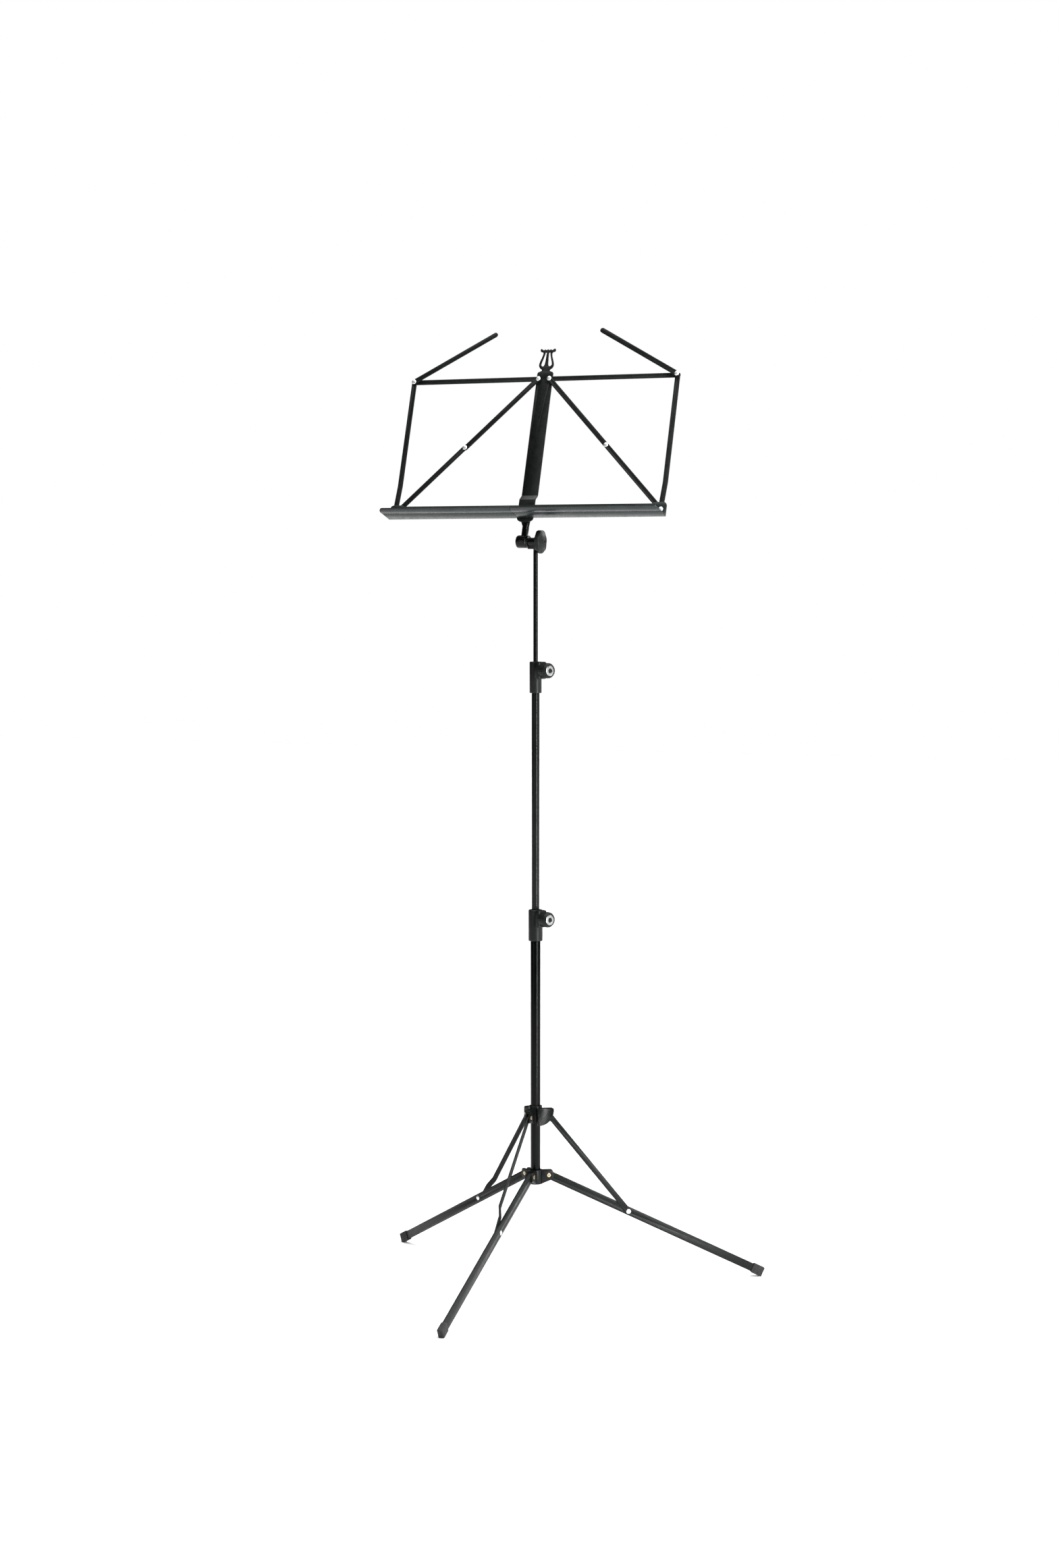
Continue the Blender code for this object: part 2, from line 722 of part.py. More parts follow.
def make_clamp(name, parent, tube_d, inner_d, low):
    """A sleeve on a tube's end, with a side boss whose screw presses on the inner tube."""
    wide = tube_d / 2 + GAP
    narrow = inner_d / 2 + GAP
    outer = tube_d / 2 + CLAMP_WALL
    step = TUBE_IN_CLAMP + GAP
    profile = [
        (outer - CLAMP_EDGE, CLAMP_HEIGHT),
        (outer, CLAMP_HEIGHT - CLAMP_EDGE),
        (outer, CLAMP_EDGE / 2),
        (outer - CLAMP_EDGE / 2, 0.0),
        (wide, 0.0),
        (wide, step),
        (narrow, step),
        (narrow, CLAMP_HEIGHT),
    ]
    boss = box(
        (narrow + MM, -BOSS_WIDTH / 2, CLAMP_HEIGHT - BOSS_HEIGHT),
        (BOSS_REACH, BOSS_WIDTH / 2, CLAMP_HEIGHT),
        2.5 * MM,
    )
    screw_z = CLAMP_HEIGHT - KNOB_DROP
    body = joined(turned(profile, closed=True), boss)
    hole = moved(cylinder(STUD_D / 2 + GAP, 0.0, BOSS_REACH + MM, "X"), shift(z=screw_z))
    body = cut(body, hole, cylinder(narrow, step + GAP, CLAMP_HEIGHT + MM))
    turn = rotation(CLAMP_TURN, "Z")
    piece(name, moved(body, shift(z=low) @ turn), parent, PLASTIC)

    axis = joint_axis(
        f"axis_{name}_knob", parent, (0, 0, 0), turn @ shift(z=low + screw_z)
    )
    back = BOSS_REACH + GAP
    face = back + KNOB_LENGTH
    grip = KNOB_D / 2
    stud = STUD_D / 2
    knob = turned(
        [
            (0.0, face),
            (KNOB_FACE_D / 2, face),
            (grip, face - 4.0 * MM),
            (grip, back + 1.2 * MM),
            (grip - 1.2 * MM, back),
            (stud, back),
            (stud, narrow),
            (0.0, narrow),
        ],
        closed=False,
    )
    piece(f"{name}_knob", along_x(knob), axis, PLASTIC)


def make_column(stand):
    lower_top = LOWER_CLAMP_Z + TUBE_IN_CLAMP
    lower = LOWER_TUBE_D / 2
    tube = ring(lower, lower - LOWER_TUBE_WALL, HUB_Z + HUB_FLOOR + GAP, lower_top)
    piece("lower_tube", tube, stand, POWDER_COAT)
    make_clamp("lower_clamp", stand, LOWER_TUBE_D, MIDDLE_TUBE_D, LOWER_CLAMP_Z)

    middle_axis = joint_axis("axis_middle_tube", stand, (0, 0, 0))
    middle = MIDDLE_TUBE_D / 2
    bore = middle - MIDDLE_TUBE_WALL
    middle_top = UPPER_CLAMP_Z + TUBE_IN_CLAMP
    tube = ring(middle, bore, MIDDLE_TUBE_END_Z, middle_top)
    piece("middle_tube", tube, middle_axis, POWDER_COAT)
    flange_z = MIDDLE_TUBE_END_Z - GAP
    plug = bore - GAP
    flange = lower - LOWER_TUBE_WALL - GAP
    end_plug = turned(
        [
            (0.0, flange_z + PLUG_LENGTH),
            (plug, flange_z + PLUG_LENGTH),
            (plug, flange_z),
            (flange, flange_z),
            (flange, flange_z - PLUG_FLANGE),
            (0.0, flange_z - PLUG_FLANGE),
        ],
        closed=False,
    )
    piece("middle_bush", end_plug, middle_axis, PLASTIC)
    make_clamp("upper_clamp", middle_axis, MIDDLE_TUBE_D, ROD_D, UPPER_CLAMP_Z)

    slide_axis = joint_axis("axis_rod_slide", middle_axis, (0, 0, 0))
    cup = ROD_D / 2 + GAP
    cup_top = ROD_END_Z - GAP + BUSH_LENGTH
    cup_floor = ROD_END_Z - GAP
    bush = turned(
        [
            (0.0, cup_floor),
            (cup, cup_floor),
            (cup, cup_top),
            (bore - GAP, cup_top),
            (bore - GAP, cup_floor - 2 * MM),
            (0.0, cup_floor - 2 * MM),
        ],
        closed=False,
    )
    piece("rod_bush", bush, slide_axis, PLASTIC)
    return joint_axis("axis_rod_turn", slide_axis, (0, 0, 0))


def make_tilt_joint(rod_axis):
    """The rod and its socket, the bolt, the knob, and the desk's stem."""
    shoulder = TILT_Z - SOCKET_BOTTOM - GAP
    tip = TILT_Z - SOCKET_BOTTOM + SPIGOT_LENGTH
    rod = turned(
        [
            (0.0, tip),
            (SPIGOT_D / 2, tip),
            (SPIGOT_D / 2, shoulder),
            (ROD_D / 2, shoulder),
            (ROD_D / 2, ROD_END_Z),
            (0.0, ROD_END_Z),
        ],
        closed=False,
    )
    piece("upper_rod", rod, rod_axis, POWDER_COAT)

    bolt_hole = cylinder(BOLT_D / 2 + GAP, BARREL_OUTER_X - MM, NECK_END_X + MM, "X")
    flange_x = BARREL_INNER_X + GAP
    neck = NECK_D / 2
    socket = turned(
        [
            (0.0, NECK_END_X),
            (neck, NECK_END_X),
            (neck, flange_x + FLANGE_WIDTH),
            (BARREL_D / 2 - 0.4 * MM, flange_x + FLANGE_WIDTH),
            (BARREL_D / 2 - 0.4 * MM, flange_x),
            (0.0, flange_x),
        ],
        closed=False,
    )
    # The rod's spigot sits in a short socket under the neck, stiffened by a gusset.
    half = GUSSET_WIDTH / 2
    gusset = box((flange_x + MM, -half, -GUSSET_BOTTOM), (-MM, half, -2 * MM))
    under = cylinder(SOCKET_D / 2, -SOCKET_BOTTOM, -2 * MM)
    room = cylinder(
        SPIGOT_D / 2 + GAP, -SOCKET_BOTTOM - MM, -SOCKET_BOTTOM + SPIGOT_LENGTH + GAP
    )
    socket = cut(joined(along_x(socket), gusset, under), bolt_hole, room)
    tilt_axis = joint_axis("axis_tilt", rod_axis, (0, 0, TILT_Z))
    piece("tilt_socket", socket, tilt_axis, POWDER_COAT)

    knob_back = NECK_END_X + GAP
    bolt = turned(
        [
            (0.0, knob_back + TILT_KNOB_GRIP * 0.8),
            (BOLT_D / 2, knob_back + TILT_KNOB_GRIP * 0.8),
            (BOLT_D / 2, BARREL_OUTER_X + 4 * MM),
            (0.0, BARREL_OUTER_X + 4 * MM),
        ],
        closed=False,
        steps=SMALL_STEPS,
    )
    piece("tilt_bolt", along_x(bolt), tilt_axis, STEEL)
    knob_axis = joint_axis("axis_tilt_knob", tilt_axis, (knob_back, 0, 0))
    piece("tilt_knob", tilt_knob_mesh(), knob_axis, PLASTIC)

    desk_axis = joint_axis(
        "axis_desk", tilt_axis, (STEM_X, 0, 0), rotation(90 - DESK_TILT, "X")
    )
    piece("desk_stem", stem_mesh(), desk_axis, POWDER_COAT)
    return desk_axis


def tilt_knob_mesh():
    """A scalloped grip with rounded edges and a shallow dome, bored for the bolt."""
    steps = 6 * TILT_KNOB_LOBES
    edge = 2.4 * MM
    outline = []
    for i in range(steps):
        angle = 2 * math.pi * i / steps
        wave = TILT_KNOB_SCALLOP * math.cos(TILT_KNOB_LOBES * angle)
        radius = TILT_KNOB_D / 2 - edge + wave
        outline.append((radius * math.cos(angle), radius * math.sin(angle)))
    curve = bpy.data.curves.new("grip", "CURVE")
    curve.dimensions = "2D"
    curve.fill_mode = "BOTH"
    curve.extrude = TILT_KNOB_GRIP / 2 - edge
    curve.bevel_depth = edge
    curve.bevel_resolution = 1
    spline = curve.splines.new("POLY")
    spline.points.add(len(outline) - 1)
    for point, (x, y) in zip(spline.points, outline):
        point.co = (x, y, 0.0, 1.0)
    spline.use_cyclic_u = True
    grip = evaluated(bpy.data.objects.new("grip", curve))
    grip = moved(grip, shift(z=TILT_KNOB_GRIP / 2))
    rim = TILT_KNOB_D / 2 - edge - TILT_KNOB_SCALLOP
    dome = turned(
        [
            (0.0, TILT_KNOB_GRIP + TILT_KNOB_DOME),
            (0.5 * rim, TILT_KNOB_GRIP + 0.8 * TILT_KNOB_DOME),
            (0.8 * rim, TILT_KNOB_GRIP + 0.42 * TILT_KNOB_DOME),
            (rim, TILT_KNOB_GRIP - 0.5 * MM),
            (0.0, TILT_KNOB_GRIP - 1.0 * MM),
        ],
        closed=False,
    )
    bore = cylinder(BOLT_D / 2 + GAP, -MM, TILT_KNOB_GRIP * 0.8 + GAP, steps=SMALL_STEPS)
    return along_x(cut(joined(grip, dome), bore))


def stem_mesh():
    """A barrel on the tilt axis and a round stem that is flattened behind the centre bar."""
    outer = BARREL_OUTER_X - STEM_X
    inner = BARREL_INNER_X - STEM_X
    radius = BARREL_D / 2
    barrel = turned(
        [
            (0.0, inner),
            (radius - 0.6 * MM, inner),
            (radius, inner - 0.6 * MM),
            (radius, outer + 3.0 * MM),
            (radius - 0.9 * MM, outer + 1.0 * MM),
            (radius - 3.0 * MM, outer),
            (0.0, outer),
        ],
        closed=False,
    )
    bore = cylinder(BOLT_D / 2 + GAP, outer + 4 * MM - GAP, inner + MM, "X")
    half = STEM_D / 2
    flat_middle = half - STEM_FLAT / 2
    sections = [
        (6.0 * MM, half, half, 0.0, 1.0),
        (STEM_ROUND_TOP, half, half, 0.0, 1.0),
        (STEM_FLAT_START, STEM_FLAT_WIDTH / 2, STEM_FLAT / 2, flat_middle, 0.35),
        (STEM_FLAT_TOP, STEM_FLAT_WIDTH / 2, STEM_FLAT / 2, flat_middle, 0.35),
    ]
    return joined(cut(along_x(barrel), bore), loft(sections))


def loft(sections, count=24):
    """A solid through rounded sections given as (height, half width, half depth, offset, power)."""
    shape = bmesh.new()
    rings = []
    for height, wide, deep, offset, power in sections:
        loop = []
        for i in range(count):
            angle = 2 * math.pi * (i + 0.5) / count
            x = math.copysign(abs(math.cos(angle)) ** power, math.cos(angle))
            z = math.copysign(abs(math.sin(angle)) ** power, math.sin(angle))
            loop.append(shape.verts.new((wide * x, height, deep * z + offset)))
        rings.append(loop)
    for low, high in zip(rings, rings[1:]):
        for i in range(count):
            j = (i + 1) % count
            shape.faces.new((low[i], low[j], high[j], high[i]))
    shape.faces.new(rings[0])
    shape.faces.new(rings[-1][::-1])
    mesh = bpy.data.meshes.new("loft")
    shape.to_mesh(mesh)
    shape.free()
    return tidy(mesh)


# ---------------------------------------------------------------- desk


def lyre_side():
    """The right half of the finial's outer edge, from its waist to the top centre."""
    return smooth(
        [
            (6.4 * MM, 14.6 * MM),
            (7.4 * MM, 17.0 * MM),
            (10.8 * MM, 19.6 * MM),
            (12.4 * MM, 24.4 * MM),
            (11.4 * MM, 30.0 * MM),
            (8.8 * MM, 37.4 * MM),
            (7.4 * MM, 43.6 * MM),
            (8.8 * MM, 46.2 * MM),
            (11.8 * MM, 47.0 * MM),
            (13.0 * MM, 49.8 * MM),
            (11.6 * MM, 52.0 * MM),
            (9.4 * MM, 50.8 * MM),
            (7.2 * MM, 49.4 * MM),
        ],
        3,
    )


def lyre_opening():
    """The opening right of the finial's centre post, as a teardrop."""
    return smooth(
        [
            (1.7 * MM, 45.6 * MM),
            (2.1 * MM, 34.0 * MM),
            (2.9 * MM, 25.0 * MM),
            (5.4 * MM, 22.0 * MM),
            (8.4 * MM, 23.4 * MM),
            (9.0 * MM, 26.8 * MM),
            (7.0 * MM, 34.0 * MM),
            (5.0 * MM, 41.0 * MM),
            (4.3 * MM, 45.8 * MM),
        ],
        2,
    )


def mirrored(points):
    return [(-x, y) for x, y in reversed(points)]


def raised(points, rise):
    return [(x, y + rise) for x, y in points]


def make_centre_bar(desk_axis):
    top = DESK_PIVOT_Y + DESK_RISE
    low = DESK_PIVOT_Y - CENTRE_BAR_TAIL
    half = CENTRE_BAR_WIDTH / 2
    corner = 3.6 * MM
    tail = [math.radians(15 * i) for i in range(7)]
    right = [
        *[(half * math.sin(a), low + 0.45 * half * (1 - math.cos(a))) for a in tail],
        (half, top + SHOULDER - corner),
        *arc((half - corner, top + SHOULDER - corner), corner, 15, 90, 4),
        *raised(lyre_side(), top),
        (4.9 * MM, top + 51.0 * MM),
        (2.5 * MM, top + 49.6 * MM),
    ]
    outline = [*right, (0.0, top + 51.2 * MM), *mirrored(right)[:-1]]
    openings = [raised(lyre_opening(), top)]
    openings.append(mirrored(openings[0]))
    for y in (top, DESK_PIVOT_Y):
        for x in (-PIVOT_X, PIVOT_X):
            openings.append(circle((x, y), RIVET_D / 2 + GAP))
    bar = plate(outline, openings, BAR_BACK, CENTRE_BAR_THICKNESS)
    stations = [
        (low - MM, CENTRE_BAR_JOG),
        (DESK_PIVOT_Y + JOG_START, CENTRE_BAR_JOG),
        (DESK_PIVOT_Y + JOG_END, 0.0),
        (top + LYRE_TOP + MM, 0.0),
    ]
    piece("centre_bar", bent(bar, 1, stations), desk_axis, POWDER_COAT)


def tray_profile(back):
    """The tray's inner face as (height above the stem's axis, desk Y) points."""
    depth = TRAY_BACK["left"] + TRAY_LEDGE
    drop = -TRAY_DROP
    front = back + TRAY_SHEET
    points = [(front, TRAY_RISE + EAR_RISE), (front, drop), (depth, drop)]
    step = LIP_DEPTH / LIP_STEPS
    for i in range(LIP_STEPS):
        share = (i + 0.5) / LIP_STEPS
        angle = LIP_START_ANGLE + (LIP_END_ANGLE - LIP_START_ANGLE) * share
        depth += step * math.cos(math.radians(angle))
        drop += step * math.sin(math.radians(angle))
        points.append((depth, drop))
    return points


def thickened(points, thickness):
    """The outline of a sheet whose inner face follows the points; its body lies outside."""
    outer = []
    for i, (x, y) in enumerate(points):
        before = points[max(i - 1, 0)]
        after = points[min(i + 1, len(points) - 1)]
        if i in (0, len(points) - 1):
            normals = [normal_of(before, after)]
        else:
            normals = [normal_of(before, (x, y)), normal_of((x, y), after)]
        nx = sum(n[0] for n in normals) / len(normals)
        ny = sum(n[1] for n in normals) / len(normals)
        scale = thickness / (nx * nx + ny * ny)
        outer.append((x + nx * scale, y + ny * scale))
    return [*points, *reversed(outer)]


def normal_of(start, end):
    """The unit normal on the right of a line from start to end."""
    dx, dy = end[0] - start[0], end[1] - start[1]
    size = math.hypot(dx, dy)
    return dy / size, -dx / size


def tray_mesh(side):
    """One half of the tray about its pivot, with X running outward along it."""
    back = TRAY_BACK[side]
    seam = SIDE_SIGN[side] * SEAM_X - PIVOT_X + GAP
    start = seam if side == "right" else -TRAY_EYE_R
    end = DESK_SPAN + TRAY_END
    profile = tray_profile(back)
    front = max(depth for depth, _ in profile)
    # The section is drawn as (height, desk Y) and extruded along what becomes X.
    sheet = plate(thickened(profile, TRAY_SHEET), [], start, end - start)
    sheet = swapped(sheet, 0, 2)

    low = -TRAY_DROP - 10 * MM
    top = TRAY_RISE + EAR_RISE
    if side == "right":
        inner = [(start - MM, TRAY_RISE), (start - MM, low)]
    else:
        eye = arc((0.0, 0.0), TRAY_EYE_R, 90, 180, 6)
        inner = [(TRAY_EYE_R / 2, TRAY_RISE), *eye[:-1], (start - MM, 0.0), (start - MM, low)]
    wall = [
        (end + MM, low),
        (end + MM, top - EAR_CORNER),
        *arc((end - EAR_CORNER, top - EAR_CORNER), EAR_CORNER, 0, 90, 5),
        (end - EAR_LENGTH, top + MM / 10),
        (end - EAR_LENGTH - 2 * EAR_RISE, TRAY_RISE),
        *inner,
    ]
    holes = [circle((x, 0.0), RIVET_D / 2 + GAP) for x in (0.0, DESK_SPAN)]
    keep = plate(wall, holes, back - MM, front - back + 10 * MM)
    sheet = boolean(sheet, keep, "INTERSECT")

    # Seen square to the ledge: the lip's rounded corners, and the seam's side.
    edge = front - 0.1 * MM
    small = 1.5 * MM
    outline = [
        (end + MM, back - MM),
        (end + MM, edge - LIP_CORNER),
        *arc((end - LIP_CORNER, edge - LIP_CORNER), LIP_CORNER, 0, 90, 6),
        *arc((seam + small, edge - small), small, 90, 180, 3),
        (seam, back - MM),
    ]
    plan = swapped(plate(outline, [], low, 60 * MM), 1, 2)
    if side == "left":
        eye = box(
            (start - MM, -TRAY_DROP + 1.5 * MM, back - 2 * MM),
            (seam + MM, top + MM, back + TRAY_SHEET + 0.1 * MM),
        )
        plan = joined(plan, eye)
    return boolean(sheet, plan, "INTERSECT")


def flip_x(mesh):
    """The mirror image across the YZ plane, with its faces pointing outward again."""
    return tidy(moved(mesh, Matrix.Scale(-1, 4, (1, 0, 0))))


def sided(mesh, side):
    return mesh if side == "right" else flip_x(mesh)


def make_desk_half(desk_axis, side):
    """Everything that folds on one side; each mesh is drawn for the right and mirrored."""
    sign = SIDE_SIGN[side]
    head_y = DESK_PIVOT_Y + DESK_RISE
    tray_back = TRAY_BACK[side]
    tray_axis = joint_axis(
        f"axis_tray_{side}", desk_axis, (sign * PIVOT_X, DESK_PIVOT_Y, 0)
    )
    piece(f"tray_{side}", sided(tray_mesh(side), side), tray_axis, POWDER_COAT)

    # The pivot is flush with the tray's front, because the other half passes over it.
    pivot = moved(
        cylinder(RIVET_D / 2, PAD_BACK, tray_back + TRAY_SHEET, steps=SMALL_STEPS),
        shift(sign * PIVOT_X, DESK_PIVOT_Y, 0),
    )
    piece(f"tray_pivot_{side}", pivot, desk_axis, POWDER_COAT)

    corner_axis = joint_axis(
        f"axis_side_bar_{side}", tray_axis, (sign * DESK_SPAN, 0, 0)
    )
    side_low = tray_back - GAP - BAR_THICKNESS
    holes = [circle((x, 0.0), RIVET_D / 2 + GAP) for x in (0.0, DESK_RISE)]
    bar = plate(bar_outline(DESK_RISE, SIDE_BAR_WIDTH), holes, SIDE_TOP_BACK, BAR_THICKNESS)
    stations = [
        (-SIDE_BAR_WIDTH, side_low - SIDE_TOP_BACK),
        (SIDE_JOG_END, side_low - SIDE_TOP_BACK),
        (SIDE_JOG_START, 0.0),
        (DESK_RISE + SIDE_BAR_WIDTH, 0.0),
    ]
    bar = moved(bent(bar, 0, stations), rotation(90, "Z"))
    piece(f"side_bar_{side}", bar, corner_axis, POWDER_COAT)

    end_rivet = rivet(tray_back + TRAY_SHEET - LOWER_LINK_BACK)
    end_rivet = moved(end_rivet, shift(sign * DESK_SPAN, 0, LOWER_LINK_BACK + GAP))
    piece(f"tray_end_rivet_{side}", end_rivet, tray_axis, STEEL)

    top_axis = joint_axis(f"axis_top_arm_{side}", desk_axis, (sign * PIVOT_X, head_y, 0))
    holes = [circle((x, 0.0), RIVET_D / 2 + GAP) for x in (0.0, DESK_SPAN)]
    arm = plate(bar_outline(DESK_SPAN, BAR_WIDTH), holes, ARM_BACK, BAR_THICKNESS)
    piece(f"top_arm_{side}", sided(arm, side), top_axis, POWDER_COAT)

    tail = RIVET_TAIL + GAP
    head = rivet(UPPER_LINK_BACK + BAR_THICKNESS - BAR_BACK + tail + GAP, RIVET_TAIL)
    head = moved(head, shift(sign * PIVOT_X, head_y, BAR_BACK - tail))
    piece(f"head_rivet_{side}", head, desk_axis, STEEL)

    # The diagonal's two links differ by the distance that their far ends keep when folded.
    diagonal = math.hypot(DESK_SPAN, DESK_RISE)
    spare = DESK_RISE - DESK_SPAN
    upper_length = (diagonal + spare) / 2
    lower_length = (diagonal - spare) / 2
    slope = math.degrees(math.atan2(DESK_RISE, DESK_SPAN))
    holes = [circle((0.0, 0.0), RIVET_D / 2 + GAP)]
    link = plate(bar_outline(upper_length, BAR_WIDTH), holes, UPPER_LINK_BACK, BAR_THICKNESS)
    upper_axis = joint_axis(
        f"axis_upper_link_{side}", desk_axis, (sign * PIVOT_X, head_y, 0)
    )
    link = sided(moved(link, rotation(-slope, "Z")), side)
    piece(f"upper_link_{side}", link, upper_axis, POWDER_COAT)

    holes = [circle((x, 0.0), RIVET_D / 2 + GAP) for x in (0.0, lower_length)]
    link = plate(bar_outline(lower_length, BAR_WIDTH), holes, LOWER_LINK_BACK, BAR_THICKNESS)
    lower_axis = joint_axis(
        f"axis_lower_link_{side}", tray_axis, (sign * DESK_SPAN, 0, 0)
    )
    link = sided(moved(link, rotation(180 - slope, "Z")), side)
    piece(f"lower_link_{side}", link, lower_axis, POWDER_COAT)
    knee = moved(rivet(BAR_THICKNESS), shift(lower_length, 0, LOWER_LINK_BACK + GAP))
    knee = sided(moved(knee, rotation(180 - slope, "Z")), side)
    piece(f"knee_rivet_{side}", knee, lower_axis, STEEL)

    page_axis = joint_axis(f"axis_page_arm_{side}", corner_axis, (0, DESK_RISE, 0))
    page_back = PAGE_ARM_BACK[side]
    holes = [circle((0.0, 0.0), RIVET_D / 2 + GAP)]
    reach = PAGE_ARM_LENGTH - BAR_WIDTH / 2
    arm = plate(bar_outline(reach, BAR_WIDTH), holes, page_back, BAR_THICKNESS)
    arm = sided(moved(arm, rotation(180 - PAGE_ARM_ANGLE, "Z")), side)
    piece(f"page_arm_{side}", arm, page_axis, POWDER_COAT)
    corner = rivet(page_back + BAR_THICKNESS - ARM_BACK + tail + GAP, RIVET_TAIL)
    corner = moved(corner, shift(0, DESK_RISE, ARM_BACK - tail))
    piece(f"corner_rivet_{side}", corner, corner_axis, STEEL)


def stand_on_origin(stand):
    """Puts the middle of the footprint at the origin and the lowest foot on the floor."""
    bpy.context.view_layer.update()
    graph = bpy.context.evaluated_depsgraph_get()
    low = Vector((1e9, 1e9, 1e9))
    high = -low
    for obj in PARTS.objects:
        if obj.type != "MESH":
            continue
        matrix = obj.evaluated_get(graph).matrix_world
        for vert in obj.data.vertices:
            place = matrix @ vert.co
            for i in range(3):
                low[i] = min(low[i], place[i])
                high[i] = max(high[i], place[i])
    stand.location = (-(low.x + high.x) / 2, -(low.y + high.y) / 2, -low.z)
    bpy.context.view_layer.update()


def main():
    stand = joint_axis("stand", None, (0, 0, 0))
    make_hub(stand)
    collar_axis = make_collar(stand)
    make_lever(collar_axis)
    make_legs(stand, collar_axis)
    rod_axis = make_column(stand)
    desk_axis = make_tilt_joint(rod_axis)
    make_centre_bar(desk_axis)
    for side in SIDE_SIGN:
        make_desk_half(desk_axis, side)
    stand_on_origin(stand)


main()
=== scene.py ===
"""Looks of the folding music stand: rounded metal and plastic parts, finishes, light, camera."""

import json
import math

import bmesh
import bpy
from mathutils import Matrix, Vector


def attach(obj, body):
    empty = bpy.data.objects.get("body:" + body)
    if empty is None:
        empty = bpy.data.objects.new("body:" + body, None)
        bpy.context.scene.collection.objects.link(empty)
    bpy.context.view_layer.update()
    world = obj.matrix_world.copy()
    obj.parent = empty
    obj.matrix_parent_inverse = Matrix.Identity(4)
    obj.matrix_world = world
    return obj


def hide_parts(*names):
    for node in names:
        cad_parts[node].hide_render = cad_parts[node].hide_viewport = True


MM = 0.001
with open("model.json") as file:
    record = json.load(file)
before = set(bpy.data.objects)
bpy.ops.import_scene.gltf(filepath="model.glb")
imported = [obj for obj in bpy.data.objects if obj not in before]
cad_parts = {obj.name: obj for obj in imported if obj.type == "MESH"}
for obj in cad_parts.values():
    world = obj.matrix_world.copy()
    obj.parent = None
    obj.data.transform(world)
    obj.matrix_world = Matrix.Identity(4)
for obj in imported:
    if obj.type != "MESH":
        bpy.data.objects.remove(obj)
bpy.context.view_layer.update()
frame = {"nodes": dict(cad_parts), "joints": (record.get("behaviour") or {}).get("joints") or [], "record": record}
nodes = frame["nodes"]
joints = {j["name"]: j for j in frame["joints"]}
node_body = {
    node: body
    for body, members in frame["record"]["behaviour"]["bodies"].items()
    for node in members
}

SIDES = ("left", "right")
LEG_SIDES = ("front", "left", "right")
UP = Vector((0.0, 0.0, 1.0))

# The desk at rest, measured from the tilt axis in the plane of its tray.
DESK_LEAN = math.radians(18.3)
FOLD_REACH = 35.5 * MM
FOLD_HALF_WIDTH = 0.5 * MM
FOLD_DEPTH = 0.72 * MM
FOLD_NEAR = 0.02 * MM
TRAY_UNDERSIDE = 36.5 * MM

# The clamp knobs, measured back from the outer face.
GRIP_RADIUS = 12.0 * MM
GRIP_LENGTH = 17.0 * MM
GRIP_SHOULDER = 4.1 * MM
STUD_RADIUS = 3.0 * MM
FLUTES = 24
FLUTE_DEPTH = 0.35 * MM

# The ribs on the release lever, measured from its pivot.
LEVER_TILT = math.radians(80)
RIB_COUNT = 4
RIB_RADIUS = 22.4 * MM
RIB_PITCH = 2.3 * MM
RIB_LIFT = 4.45 * MM
RIB_THICKNESS = 0.45 * MM
RIB_START = 6
RIB_SWEEP = 76
RIB_STEPS = 16

# Widths of the rounded edges, in millimetres.
EDGE_WIDTHS = {
    "tray_left": 0.35,
    "tray_right": 0.35,
    "centre_bar": 0.4,
    "leg_hub": 0.5,
    "collar": 0.45,
    "release_lever": 1.0,
    "lower_clamp": 0.5,
    "upper_clamp": 0.5,
    "lower_tube": 0.25,
    "middle_tube": 0.25,
    "tilt_socket": 0.4,
    "desk_stem": 0.4,
}
BAR_EDGE = 0.4
LEG_EDGE = 0.9
BRACE_EDGE = 0.5
FOOT_EDGE = 1.1
TILT_KNOB_EDGE = 0.35

# Lights: name, place, what it points at, size, power.
LIGHTS = (
    ("strip", (0.97, -0.46, 1.28), (0.02, 0.09, 1.28), (0.13, 2.5), 42),
    ("edge", (1.55, 0.62, 1.25), (0.02, 0.09, 1.2), (0.2, 2.4), 8),
    ("broad", (-1.5, -2.9, 1.5), (0, 0.09, 0.95), (1.3, 2.2), 9),
    ("rear", (1.2, 3.4, 2.4), (0, 0.09, 0.9), (2.4, 1.4), 40),
)
FLOOR_HALF_SIZE = 14.0
DIM_BELOW = 0.76
BRIGHT_ABOVE = 0.93
ROOM_STRENGTH = 0.035
CEILING_STRENGTH = 4.6

CAMERA_OFFSET = (1.7133, -4.1611)
CAMERA_HEIGHT = 1.1017
CAMERA_TURN = math.radians(22.5)
CAMERA_PITCH = math.radians(86.09)
CAMERA_LENS = 66.01
SENSOR_WIDTH = 36.0
FAR_CLIP = 60.0


# ---------------------------------------------------------------- node helpers


